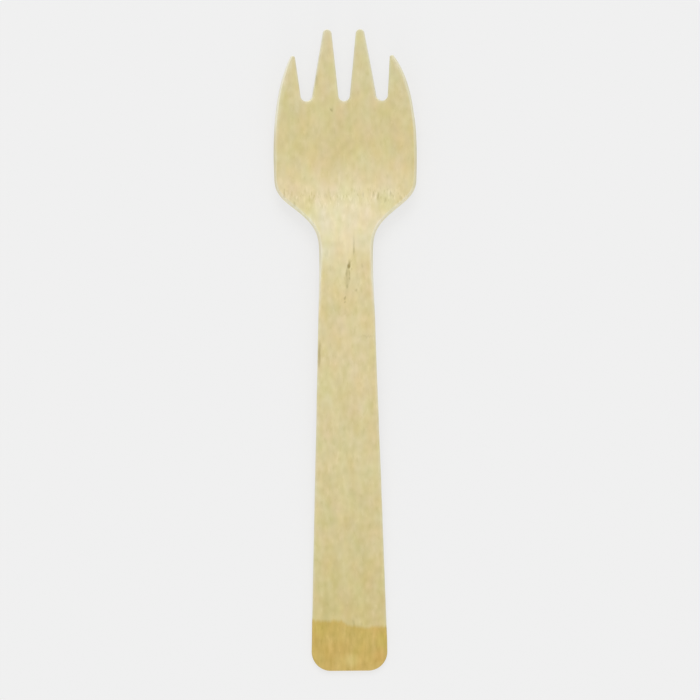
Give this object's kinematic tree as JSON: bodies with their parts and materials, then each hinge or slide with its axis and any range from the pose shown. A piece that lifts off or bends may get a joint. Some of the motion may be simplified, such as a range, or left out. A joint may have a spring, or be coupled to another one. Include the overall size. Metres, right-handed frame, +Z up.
{
  "type": "wooden fork",
  "caption": "Disposable wooden fork, pressed from one thin sheet: flat tapering handle, dipped neck, shallow bowl and tapering tines.",
  "frame": {"origin": "centre of the footprint, on the table that the fork lies on", "axes": "+Y along the fork from the butt to the tines, +Z up out of the bowl, +X to the right seen from above"},
  "size_m": [0.0356, 0.16, 0.0069],
  "materials": {
    "pale_wood": "bare sanded hardwood, dull, with fine lengthwise grain and a honey-brown band at the butt"
  },
  "bodies": {
    "root": {"fork": "pale_wood"}
  },
  "joints": []
}
